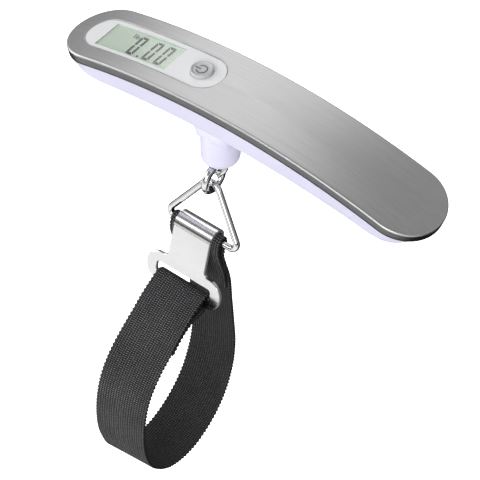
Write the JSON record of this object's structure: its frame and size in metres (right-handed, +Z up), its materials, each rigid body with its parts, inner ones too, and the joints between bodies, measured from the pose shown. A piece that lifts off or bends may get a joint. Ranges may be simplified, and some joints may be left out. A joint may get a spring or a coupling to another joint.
{
  "type": "digital luggage scale",
  "caption": "Hand-held luggage scale: arched grip with display and push button, swivelling eye, ring and triangle below, and a webbing loop closed by a slotted hook plate.",
  "frame": {"origin": "crown of the arched top plate, midway along the grip, where the fingers lift", "axes": "+X along the grip away from the display, +Y to the back of the grip, +Z up out of the top plate"},
  "size_m": [0.1536, 0.0727, 0.1677],
  "materials": {
    "brushed_plate": "fine lengthwise brushing, satin",
    "grey_plastic": "moulded, matte",
    "lavender_shell": "smooth moulded plastic, soft sheen",
    "white_bezel": "smooth, low gloss",
    "clear_lens": "polished clear window",
    "lcd_glass": "polished",
    "lcd_back": "pale grey-green",
    "lcd_ink": "flat black",
    "board": "varnished laminate",
    "zebra": "matte",
    "chip": "matte",
    "button_metal": "satin silver coat",
    "cell_steel": "bright nickel",
    "contact_steel": "spring steel",
    "cell_aluminium": "machined",
    "gauge_film": "amber film",
    "screw_steel": "zinc plated",
    "chrome_wire": "polished",
    "satin_plate": "satin nickel plate",
    "black_webbing": "woven, ribbed, dotted with grey threads"
  },
  "bodies": {
    "grip": {"top_plate": "brushed_plate", "inner_frame": "grey_plastic", "lower_shell": "lavender_shell", "display_bezel": "white_bezel", "lcd_lens": "clear_lens", "lcd_glass": "lcd_glass", "lcd_reflector": "lcd_back", "lcd_digits": "lcd_ink", "circuit_board": "board", "zebra_connectors": "zebra", "controller_chip": "chip", "power_switch": "chip", "coin_cell": "cell_steel", "battery_spring": "contact_steel", "battery_holder": "grey_plastic", "battery_contact": "contact_steel", "load_cell": "cell_aluminium", "strain_gauges": "gauge_film", "cell_screws": "screw_steel"},
    "button": {"power_button": "button_metal"},
    "door": {"battery_door": "lavender_shell"},
    "swivel": {"swivel_eye": "chrome_wire", "eye_nut": "screw_steel"},
    "ring": {"hook_ring": "chrome_wire"},
    "triangle": {"triangle_ring": "chrome_wire"},
    "strap": {"webbing_loop": "black_webbing", "webbing_bar_fold": "black_webbing"},
    "hook": {"hook_plate": "satin_plate", "webbing_end_fold": "black_webbing"}
  },
  "joints": [
    {"name": "button_press", "type": "slide", "parent": "grip", "child": "button", "axis": [0.0793, 0, -0.9969], "range_m": [0, 0.0005], "stiffness_N_per_m": 500},
    {"name": "door_open", "type": "hinge", "parent": "grip", "child": "door", "pos_m": [0.02415, 0, -0.018], "axis": [0, 1, 0], "range_deg": [0, 80]},
    {"name": "eye_swivel", "type": "hinge", "parent": "grip", "child": "swivel", "pos_m": [-0.0132, 0, -0.042], "axis": [0, 0, 1], "continuous": true},
    {"name": "ring_swing", "type": "hinge", "parent": "swivel", "child": "ring", "pos_m": [-0.0132, -0.00252, -0.04276], "axis": [1, 0, 0], "range_deg": [-10, 60]},
    {"name": "triangle_swing", "type": "hinge", "parent": "ring", "child": "triangle", "pos_m": [-0.0134, -0.00456, -0.0465], "axis": [1, 0, 0], "range_deg": [-25, 40]},
    {"name": "strap_swing", "type": "hinge", "parent": "triangle", "child": "strap", "pos_m": [-0.0151, -0.01041, -0.06688], "axis": [1, 0, 0], "range_deg": [-30, 45]},
    {"name": "hook_lift", "type": "slide", "parent": "strap", "child": "hook", "axis": [0, 0.2756, 0.9613], "range_m": [0, 0.0025]}
  ]
}
